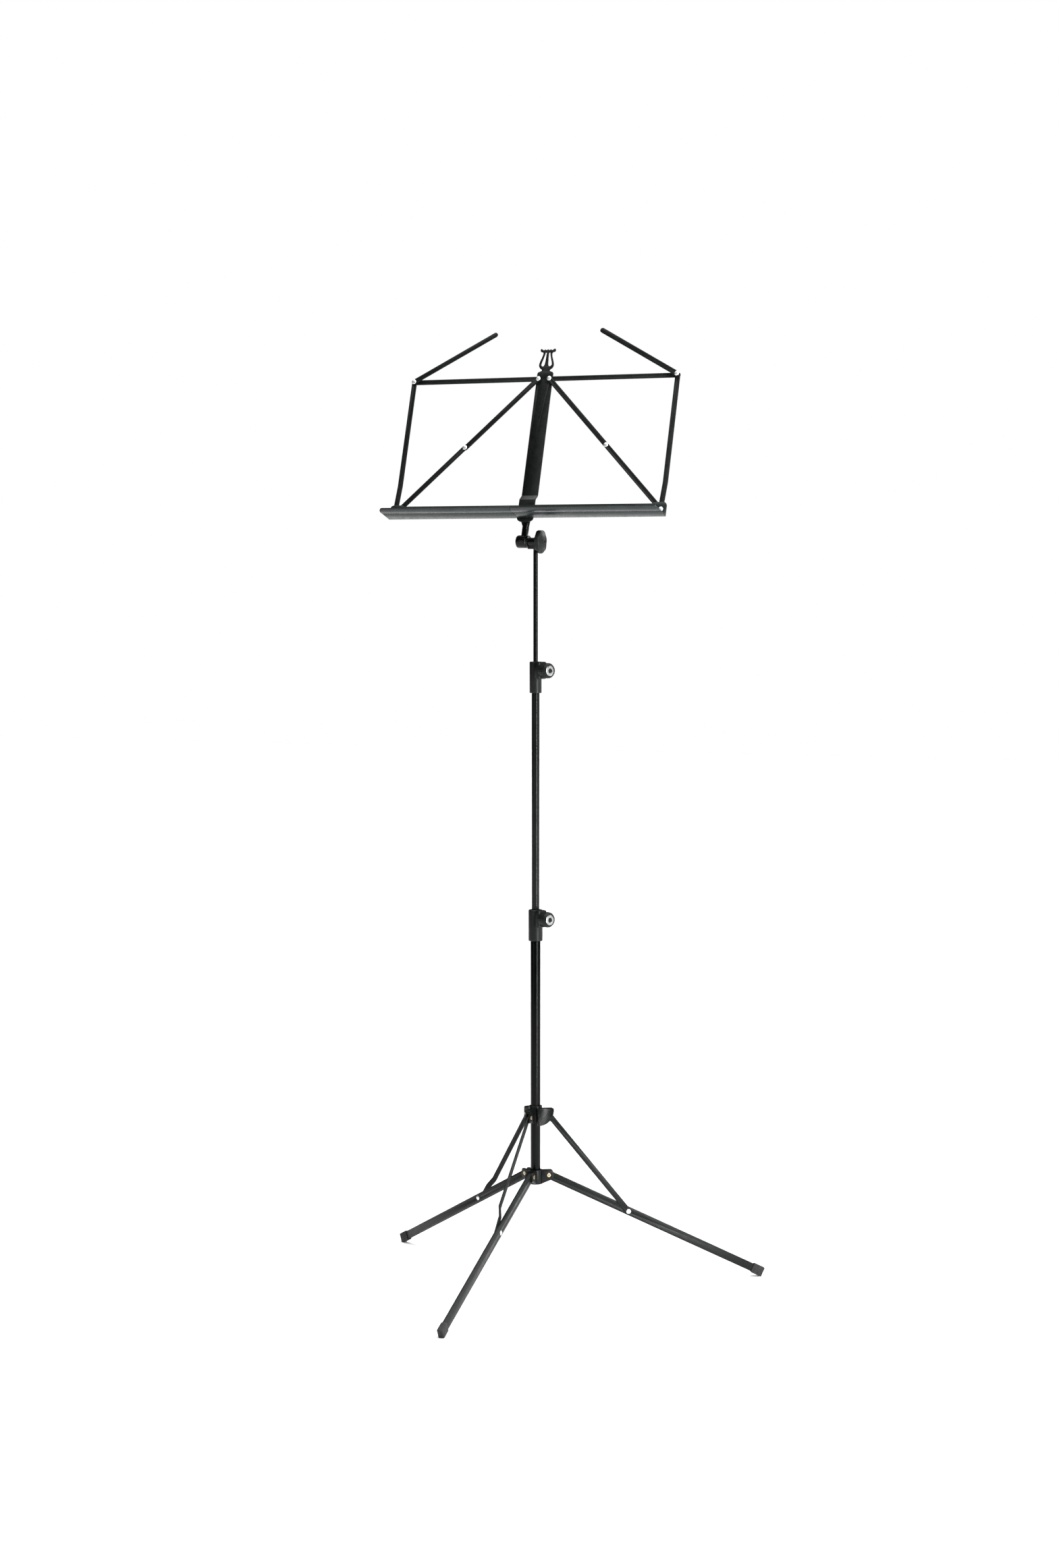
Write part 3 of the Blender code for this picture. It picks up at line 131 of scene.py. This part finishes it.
class Finish:
    """A material and short ways to add and link its nodes."""

    def __init__(self, name):
        self.material = bpy.data.materials.new(name)
        self.material.use_nodes = True
        self.tree = self.material.node_tree
        self.shader = self.tree.nodes["Principled BSDF"]
        self.place = self.add("ShaderNodeTexCoord").outputs["Object"]

    def add(self, kind, **settings):
        node = self.tree.nodes.new(kind)
        for key, value in settings.items():
            setattr(node, key, value)
        return node

    def link(self, source, target):
        self.tree.links.new(source, target)

    def set(self, **values):
        names = {
            "roughness": "Roughness",
            "metallic": "Metallic",
            "specular": "Specular IOR Level",
        }
        for key, value in values.items():
            self.shader.inputs[names[key]].default_value = value

    def noise(self, scale, detail=3.0, roughness=0.5, stretch=None):
        texture = self.add("ShaderNodeTexNoise")
        texture.inputs["Scale"].default_value = scale
        texture.inputs["Detail"].default_value = detail
        texture.inputs["Roughness"].default_value = roughness
        place = self.place
        if stretch:
            mapping = self.add("ShaderNodeMapping")
            mapping.inputs["Scale"].default_value = stretch
            self.link(place, mapping.inputs["Vector"])
            place = mapping.outputs["Vector"]
        self.link(place, texture.inputs["Vector"])
        return texture.outputs["Fac"]

    def cells(self, scale):
        texture = self.add("ShaderNodeTexVoronoi", feature="F1")
        texture.inputs["Scale"].default_value = scale
        self.link(self.place, texture.inputs["Vector"])
        return texture.outputs["Distance"]

    def ramp(self, value, *stops):
        """Colours or greys at positions along a value."""
        node = self.add("ShaderNodeValToRGB")
        elements = node.color_ramp.elements
        while len(elements) < len(stops):
            elements.new(0.5)
        for element, (position, colour) in zip(elements, stops):
            element.position = position
            if not isinstance(colour, tuple):
                colour = (colour, colour, colour)
            element.color = (*colour, 1.0)
        self.link(value, node.inputs["Fac"])
        return node.outputs["Color"]

    def blend(self, mode, factor, first, second):
        node = self.add("ShaderNodeMix", data_type="RGBA", blend_type=mode)
        if isinstance(factor, float):
            node.inputs["Factor"].default_value = factor
        else:
            self.link(factor, node.inputs["Factor"])
        for socket, value in ((node.inputs[6], first), (node.inputs[7], second)):
            if isinstance(value, tuple):
                socket.default_value = (*value, 1.0)
            else:
                self.link(value, socket)
        return node.outputs[2]

    def span(self, value, low, high, start=0.0, end=1.0):
        node = self.add("ShaderNodeMapRange")
        node.inputs["From Min"].default_value = start
        node.inputs["From Max"].default_value = end
        node.inputs["To Min"].default_value = low
        node.inputs["To Max"].default_value = high
        self.link(value, node.inputs["Value"])
        return node.outputs["Result"]

    def bump(self, *heights):
        """Bumps stacked from (value, distance in metres, strength)."""
        normal = None
        for value, distance, strength in heights:
            node = self.add("ShaderNodeBump")
            node.inputs["Distance"].default_value = distance
            node.inputs["Strength"].default_value = strength
            self.link(value, node.inputs["Height"])
            if normal is not None:
                self.link(normal, node.inputs["Normal"])
            normal = node.outputs["Normal"]
        self.link(normal, self.shader.inputs["Normal"])

    def colour(self, value):
        self.link(value, self.shader.inputs["Base Color"])

    def rough(self, value):
        self.link(value, self.shader.inputs["Roughness"])


def powder_coat(name, dark, light, rough, speckle, level):
    """Baked powder coat: a fine orange-peel grain, tiny lighter flecks and slow shade drift."""
    made = Finish(name)
    drift = made.noise(28.0, 4.0, 0.6)
    base = made.ramp(drift, (0.3, dark), (0.7, light))
    flecks = made.cells(1500.0)
    fleck_mask = made.ramp(flecks, (0.0, 1.0), (0.24, 0.0))
    patch = made.ramp(made.noise(700.0, 2.0), (0.45, 0.0), (0.62, 1.0))
    chosen = made.blend("MULTIPLY", 1.0, fleck_mask, patch)
    light_fleck = tuple(min(1.0, c * 5.0 + 0.03) for c in light)
    weight = made.span(chosen, 0.0, speckle)
    made.colour(made.blend("MIX", weight, base, light_fleck))
    grain = made.noise(1900.0, 2.0, 0.6)
    worn = made.noise(110.0, 5.0, 0.65)
    made.rough(made.span(worn, rough - 0.07, rough + 0.1, 0.3, 0.7))
    made.bump((grain, 0.00022, 0.32), (made.noise(520.0, 2.0), 0.0003, 0.22))
    made.set(specular=level)
    return made.material


def moulded(name, dark, light, rough, grain_depth, level):
    """Moulded plastic: spark-eroded grain, faint flow marks, handled patches."""
    made = Finish(name)
    drift = made.noise(60.0, 4.0, 0.6)
    made.colour(made.ramp(drift, (0.3, dark), (0.72, light)))
    handled = made.noise(170.0, 4.0, 0.6)
    made.rough(made.span(handled, rough - 0.1, rough + 0.1, 0.3, 0.7))
    grain = made.noise(1300.0, 3.0, 0.7)
    flow = made.noise(90.0, 2.0, 0.5, (1.0, 1.0, 0.25))
    made.bump((grain, 0.0003, grain_depth), (flow, 0.0008, 0.08))
    made.set(specular=level)
    return made.material


def rubber(name):
    """Matt moulded rubber with a little dust."""
    made = Finish(name)
    dust = made.noise(210.0, 5.0, 0.7)
    made.colour(made.ramp(dust, (0.35, (0.011, 0.011, 0.012)), (0.75, (0.03, 0.03, 0.031))))
    made.rough(made.span(made.noise(400.0, 3.0), 0.6, 0.85, 0.3, 0.7))
    made.bump((made.noise(900.0, 3.0, 0.7), 0.0004, 0.4))
    made.set(specular=0.3)
    return made.material


def bright_steel(name, tint, rough):
    """Plated metal with turning marks, faint tarnish and small dings."""
    made = Finish(name)
    tarnish = made.noise(330.0, 5.0, 0.65)
    darker = tuple(c * 0.72 for c in tint)
    made.colour(made.ramp(tarnish, (0.34, darker), (0.62, tint)))
    made.rough(made.span(made.noise(800.0, 3.0), rough - 0.06, rough + 0.12, 0.3, 0.7))
    dings = made.cells(900.0)
    made.bump((dings, 0.00008, 0.25), (made.noise(2600.0, 2.0), 0.00005, 0.3))
    made.set(metallic=1.0)
    return made.material


BARS = powder_coat(
    "coat_bars", (0.0022, 0.0027, 0.0026), (0.0052, 0.006, 0.0057), 0.4, 0.22, 0.24
)
TRAY = powder_coat(
    "coat_tray", (0.0068, 0.0092, 0.0092), (0.0135, 0.0172, 0.0172), 0.27, 0.45, 0.3
)
TUBES = powder_coat(
    "coat_tubes", (0.0006, 0.0008, 0.0008), (0.0018, 0.0022, 0.0021), 0.13, 0.04, 0.1
)
MIDDLE = powder_coat(
    "coat_middle", (0.0025, 0.003, 0.0029), (0.006, 0.0068, 0.0066), 0.17, 0.1, 0.14
)
LEGS = powder_coat(
    "coat_legs", (0.0028, 0.0034, 0.0033), (0.0065, 0.0075, 0.0072), 0.34, 0.25, 0.17
)
GLOSS = powder_coat(
    "coat_gloss", (0.001, 0.0012, 0.0012), (0.0024, 0.0027, 0.0026), 0.13, 0.02, 0.2
)
CLAMPS = moulded(
    "clamp_plastic", (0.0035, 0.0042, 0.004), (0.0085, 0.0096, 0.0092), 0.36, 0.3, 0.17
)
KNOBS = moulded(
    "knob_plastic", (0.005, 0.0058, 0.0058), (0.011, 0.0125, 0.0124), 0.38, 0.4, 0.13
)
COLLAR = moulded(
    "collar_plastic", (0.0022, 0.0026, 0.0026), (0.0052, 0.0059, 0.0058), 0.24, 0.18, 0.11
)
RUBBER = rubber("foot_rubber")
STEEL = bright_steel("rivet_steel", (0.93, 0.94, 0.94), 0.42)
RING = bright_steel("ring_steel", (0.34, 0.35, 0.35), 0.3)
BRASS = bright_steel("eyelet_brass", (0.62, 0.50, 0.34), 0.34)


def finish_of(node):
    """The finish that a CAD node shows."""
    if node.startswith("foot_"):
        return RUBBER
    if node.startswith(("hub_pin", "collar_pin")):
        return BRASS
    if node.startswith("tray_pivot"):
        return TRAY
    if "rivet" in node or node == "tilt_bolt":
        return STEEL
    if node.startswith("tray_"):
        return TRAY
    if node in ("collar", "release_lever"):
        return COLLAR
    if node in ("lower_clamp", "upper_clamp", "middle_bush", "rod_bush"):
        return CLAMPS
    if node.endswith("knob"):
        return KNOBS
    if node in ("lower_tube", "upper_rod"):
        return TUBES
    if node == "middle_tube":
        return MIDDLE
    if node in ("desk_stem", "tilt_socket"):
        return GLOSS
    if node.startswith(("leg_", "brace_")):
        return LEGS
    return BARS


# ---------------------------------------------------------------- pieces


def smooth_shading(obj, angle=40):
    """Smooth shading, with sharp edges above an angle in degrees."""
    obj.data.shade_smooth()
    obj.data.set_sharp_from_angle(angle=math.radians(angle))


def dressed(node, width, segments=2, angle=30):
    """A copy of a CAD node with rounded edges, which stands for it."""
    source = nodes[node]
    piece = bpy.data.objects.new(f"{node}_finished", source.data.copy())
    bpy.context.scene.collection.objects.link(piece)
    shape = bmesh.new()
    shape.from_mesh(piece.data)
    bmesh.ops.remove_doubles(shape, verts=shape.verts, dist=0.004 * MM)
    flat = [e for e in shape.edges if len(e.link_faces) == 2]
    bmesh.ops.dissolve_limit(
        shape, angle_limit=math.radians(0.4), verts=shape.verts, edges=flat
    )
    shape.to_mesh(piece.data)
    shape.free()
    bevel = piece.modifiers.new("edges", "BEVEL")
    bevel.width = width
    bevel.segments = segments
    bevel.limit_method = "ANGLE"
    bevel.angle_limit = math.radians(angle)
    bevel.use_clamp_overlap = True
    bevel.miter_outer = "MITER_ARC"
    bake_modifiers(piece)
    piece.data.materials.clear()
    piece.data.materials.append(finish_of(node))
    smooth_shading(piece, 50)
    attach(piece, node_body[node])
    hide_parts(node)
    return piece


def bake_modifiers(obj):
    """Applies an object's modifiers to its mesh."""
    bpy.context.view_layer.update()
    graph = bpy.context.evaluated_depsgraph_get()
    mesh = bpy.data.meshes.new_from_object(obj.evaluated_get(graph))
    obj.modifiers.clear()
    obj.data = mesh


def turned(name, profile, steps, axis, origin):
    """A shape turned from (radius, height) points, set up along an axis at a point."""
    mesh = bpy.data.meshes.new(name)
    edges = [(i, i + 1) for i in range(len(profile) - 1)]
    mesh.from_pydata([(r, 0.0, h) for r, h in profile], edges, [])
    obj = bpy.data.objects.new(name, mesh)
    bpy.context.scene.collection.objects.link(obj)
    screw = obj.modifiers.new("turn", "SCREW")
    screw.steps = steps
    screw.render_steps = steps
    screw.use_merge_vertices = True
    screw.merge_threshold = 0.002 * MM
    bake_modifiers(obj)
    shape = bmesh.new()
    shape.from_mesh(obj.data)
    bmesh.ops.recalc_face_normals(shape, faces=shape.faces)
    shape.to_mesh(obj.data)
    shape.free()
    turn = Vector(axis).to_track_quat("Z", "Y").to_matrix().to_4x4()
    obj.data.transform(Matrix.Translation(origin) @ turn)
    smooth_shading(obj)
    return obj


def added(obj, finish, body):
    """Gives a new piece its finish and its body."""
    obj.data.materials.clear()
    obj.data.materials.append(finish)
    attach(obj, body)
    return obj


def far_point(node, origin, axis):
    """How far a node reaches along an axis from an origin."""
    direction = Vector(axis)
    return max((v.co - Vector(origin)).dot(direction) for v in nodes[node].data.vertices)


def near_point(node, origin, axis):
    """How near a node starts along an axis from an origin."""
    direction = Vector(axis)
    return min((v.co - Vector(origin)).dot(direction) for v in nodes[node].data.vertices)


def dress_everything():
    """Rounded edges for every visible part, as wide as its sheet or moulding allows."""
    widths = dict(EDGE_WIDTHS)
    for side in SIDES:
        for name in ("side_bar", "top_arm", "upper_link", "lower_link", "page_arm"):
            widths[f"{name}_{side}"] = BAR_EDGE
    for side in LEG_SIDES:
        widths[f"leg_{side}"] = LEG_EDGE
        widths[f"brace_{side}"] = BRACE_EDGE
    for node, width in widths.items():
        piece = dressed(node, width * MM)
        if node.startswith("tray_"):
            press_fold(piece)


def press_fold(piece):
    """The sharp pressed line under a tray half, where its ledge turns into its lip."""
    origin = Vector(joints["tilt"]["pos_m"])
    toward = Vector((0.0, -math.cos(DESK_LEAN), math.sin(DESK_LEAN)))
    up = Vector((0.0, math.sin(DESK_LEAN), math.cos(DESK_LEAN)))
    shape = bmesh.new()
    shape.from_mesh(piece.data)
    for offset in (-FOLD_HALF_WIDTH, 0.0, FOLD_HALF_WIDTH):
        place = origin + toward * (FOLD_REACH + offset)
        everything = shape.verts[:] + shape.edges[:] + shape.faces[:]
        bmesh.ops.bisect_plane(shape, geom=everything, plane_co=place, plane_no=toward)
    for vert in shape.verts:
        local = vert.co - origin
        under = local.dot(up) < TRAY_UNDERSIDE
        if under and abs(local.dot(toward) - FOLD_REACH) < FOLD_NEAR:
            vert.co += up * FOLD_DEPTH
    shape.to_mesh(piece.data)
    shape.free()
    smooth_shading(piece, 42)


def clamp_knob(node, joint):
    """A fluted grip with a stepped face and a plain metal ring set in it."""
    origin = Vector(joints[joint]["pos_m"])
    axis = Vector(joints[joint]["axis"])
    face = far_point(node, origin, axis)
    back = face - GRIP_LENGTH
    stud = near_point(node, origin, axis)
    profile = [
        (0.0, face - 0.9 * MM),
        (3.2 * MM, face - 0.9 * MM),
        (3.5 * MM, face - 0.5 * MM),
        (8.5 * MM, face - 0.5 * MM),
        (8.6 * MM, face),
        (9.1 * MM, face),
        (9.6 * MM, face - 0.35 * MM),
        (GRIP_RADIUS - 0.3 * MM, face - 3.4 * MM),
        (GRIP_RADIUS, face - GRIP_SHOULDER),
        (GRIP_RADIUS, back + 2.0 * MM),
        (GRIP_RADIUS - 0.4 * MM, back + 0.8 * MM),
        (GRIP_RADIUS - 1.4 * MM, back),
        (3.3 * MM, back),
        (STUD_RADIUS, back + 0.2 * MM),
        (STUD_RADIUS, stud),
        (0.0, stud),
    ]
    knob = turned(f"{node}_grip", profile, 96, axis, origin)
    flute(knob, origin, axis, face)
    added(knob, KNOBS, node_body[node])
    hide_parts(node)

    ring = [
        (3.75 * MM, face - 0.62 * MM),
        (4.1 * MM, face - 0.28 * MM),
        (5.9 * MM, face - 0.22 * MM),
        (7.9 * MM, face - 0.28 * MM),
        (8.3 * MM, face - 0.62 * MM),
        (3.75 * MM, face - 0.62 * MM),
    ]
    plate = turned(f"{node}_ring", ring, 64, axis, origin)
    added(plate, RING, node_body[node])


def flute(knob, origin, axis, face):
    """Shallow flutes round a grip, behind its shoulder."""
    turn = Vector(axis).to_track_quat("Z", "Y").to_matrix()
    for vert in knob.data.vertices:
        local = turn.transposed() @ (vert.co - origin)
        radius = math.hypot(local.x, local.y)
        if radius > GRIP_RADIUS - 0.2 * MM and local.z < face - GRIP_SHOULDER + 0.2 * MM:
            angle = math.atan2(local.y, local.x)
            depth = FLUTE_DEPTH * (0.5 + 0.5 * math.cos(FLUTES * angle))
            scale = (radius - depth) / radius
            flat = Vector((local.x * scale, local.y * scale, local.z))
            vert.co = origin + turn @ flat


def tilt_knob():
    """The large grip behind the desk: the scalloped body with a small cap in its face."""
    node = "tilt_knob"
    joint = joints["tilt_knob_turn"]
    dressed(node, TILT_KNOB_EDGE * MM, 1, 40)
    origin = Vector(joint["pos_m"])
    axis = Vector(joint["axis"])
    face = far_point(node, origin, axis)
    cap = [
        (0.0, face + 0.02 * MM),
        (2.4 * MM, face),
        (3.2 * MM, face - 0.3 * MM),
        (3.4 * MM, face - 1.2 * MM),
        (0.0, face - 1.2 * MM),
    ]
    button = turned("tilt_knob_cap", cap, 32, axis, origin)
    added(button, COLLAR, node_body[node])


def feet():
    """Rubber feet with well rounded edges."""
    for side in LEG_SIDES:
        dressed(f"foot_{side}", FOOT_EDGE * MM, 3, 30)


def lever_ribs():
    """Grip ribs that follow the round edge of the release lever's outer face."""
    joint = joints["lever_press"]
    origin = Vector(joint["pos_m"])
    across = Vector(joint["axis"]).normalized()
    out = across.cross(UP)
    down = out * math.cos(LEVER_TILT) - UP * math.sin(LEVER_TILT)
    normal = out * math.sin(LEVER_TILT) + UP * math.cos(LEVER_TILT)
    for i in range(RIB_COUNT):
        curve = bpy.data.curves.new(f"lever_rib_{i}", "CURVE")
        curve.dimensions = "3D"
        curve.bevel_depth = RIB_THICKNESS
        curve.bevel_resolution = 2
        curve.use_fill_caps = True
        spline = curve.splines.new("POLY")
        spline.points.add(RIB_STEPS)
        radius = RIB_RADIUS - RIB_PITCH * i
        for j, point in enumerate(spline.points):
            angle = math.radians(RIB_START + RIB_SWEEP * j / RIB_STEPS)
            place = origin + down * (radius * math.cos(angle))
            place = place + across * (radius * math.sin(angle)) + normal * RIB_LIFT
            point.co = (*place, 1.0)
        rib = bpy.data.objects.new(f"lever_rib_{i}", curve)
        bpy.context.scene.collection.objects.link(rib)
        bake_curve(rib, COLLAR, "release_lever")


def bake_curve(obj, finish, body):
    """Turns a curve object into a mesh piece that rides on a body."""
    bpy.context.view_layer.update()
    graph = bpy.context.evaluated_depsgraph_get()
    mesh = bpy.data.meshes.new_from_object(obj.evaluated_get(graph))
    name = obj.name
    bpy.data.objects.remove(obj, do_unlink=True)
    made = bpy.data.objects.new(name, mesh)
    bpy.context.scene.collection.objects.link(made)
    smooth_shading(made)
    return added(made, finish, body)


# ---------------------------------------------------------------- stage


def area_light(name, place, target, size, power):
    light = bpy.data.lights.new(name, "AREA")
    light.shape = "RECTANGLE"
    light.size, light.size_y = size
    light.energy = power
    obj = bpy.data.objects.new(name, light)
    bpy.context.scene.collection.objects.link(obj)
    obj.location = place
    aim = Vector(target) - Vector(place)
    obj.rotation_euler = aim.to_track_quat("-Z", "Y").to_euler()
    obj.visible_camera = False


def make_floor():
    """A plain pale floor."""
    shape = bmesh.new()
    bmesh.ops.create_grid(shape, x_segments=8, y_segments=8, size=FLOOR_HALF_SIZE)
    mesh = bpy.data.meshes.new("floor")
    shape.to_mesh(mesh)
    shape.free()
    floor = bpy.data.objects.new("floor", mesh)
    bpy.context.scene.collection.objects.link(floor)
    made = Finish("floor_pale")
    made.colour(made.ramp(made.noise(1.2, 2.0), (0.3, 0.86), (0.7, 0.9)))
    made.set(roughness=0.85, specular=0.2)
    mesh.materials.append(made.material)


def make_surround():
    """A bright ceiling over a dim room, in front of a white background."""
    world = bpy.data.worlds.new("surround")
    bpy.context.scene.world = world
    world.use_nodes = True
    tree = world.node_tree
    back = tree.nodes["Background"]
    place = tree.nodes.new("ShaderNodeTexCoord")
    split = tree.nodes.new("ShaderNodeSeparateXYZ")
    tree.links.new(place.outputs["Generated"], split.inputs["Vector"])
    rise = tree.nodes.new("ShaderNodeMapRange")
    rise.inputs["From Min"].default_value = DIM_BELOW
    rise.inputs["From Max"].default_value = BRIGHT_ABOVE
    rise.inputs["To Min"].default_value = ROOM_STRENGTH
    rise.inputs["To Max"].default_value = CEILING_STRENGTH
    tree.links.new(split.outputs["Z"], rise.inputs["Value"])
    path = tree.nodes.new("ShaderNodeLightPath")
    seen = tree.nodes.new("ShaderNodeMix")
    tree.links.new(path.outputs["Is Camera Ray"], seen.inputs["Factor"])
    tree.links.new(rise.outputs["Result"], seen.inputs[2])
    seen.inputs[3].default_value = 1.0
    back.inputs["Color"].default_value = (1.0, 1.0, 1.0, 1.0)
    tree.links.new(seen.outputs[0], back.inputs["Strength"])


def make_lights():
    for light in LIGHTS:
        area_light(*light)


def make_camera():
    """Stands 22.5 degrees to the right of the desk's front, a little below its tray."""
    camera = bpy.data.cameras.new("camera")
    camera.sensor_width = SENSOR_WIDTH
    camera.lens = CAMERA_LENS
    camera.clip_end = FAR_CLIP
    obj = bpy.data.objects.new("camera", camera)
    bpy.context.scene.collection.objects.link(obj)
    column = Vector(joints["rod_swivel"]["pos_m"])
    east, north = CAMERA_OFFSET
    obj.location = (column.x + east, column.y + north, CAMERA_HEIGHT)
    obj.rotation_euler = (CAMERA_PITCH, 0.0, CAMERA_TURN)
    bpy.context.scene.camera = obj


def main():
    bpy.context.scene.view_settings.view_transform = "Standard"
    make_camera()
    make_floor()
    make_surround()
    make_lights()
    for name, node in nodes.items():
        node.data.materials.clear()
        node.data.materials.append(finish_of(name))
        smooth_shading(node)
    dress_everything()
    clamp_knob("lower_clamp_knob", "lower_knob_turn")
    clamp_knob("upper_clamp_knob", "upper_knob_turn")
    tilt_knob()
    lever_ribs()
    feet()


main()
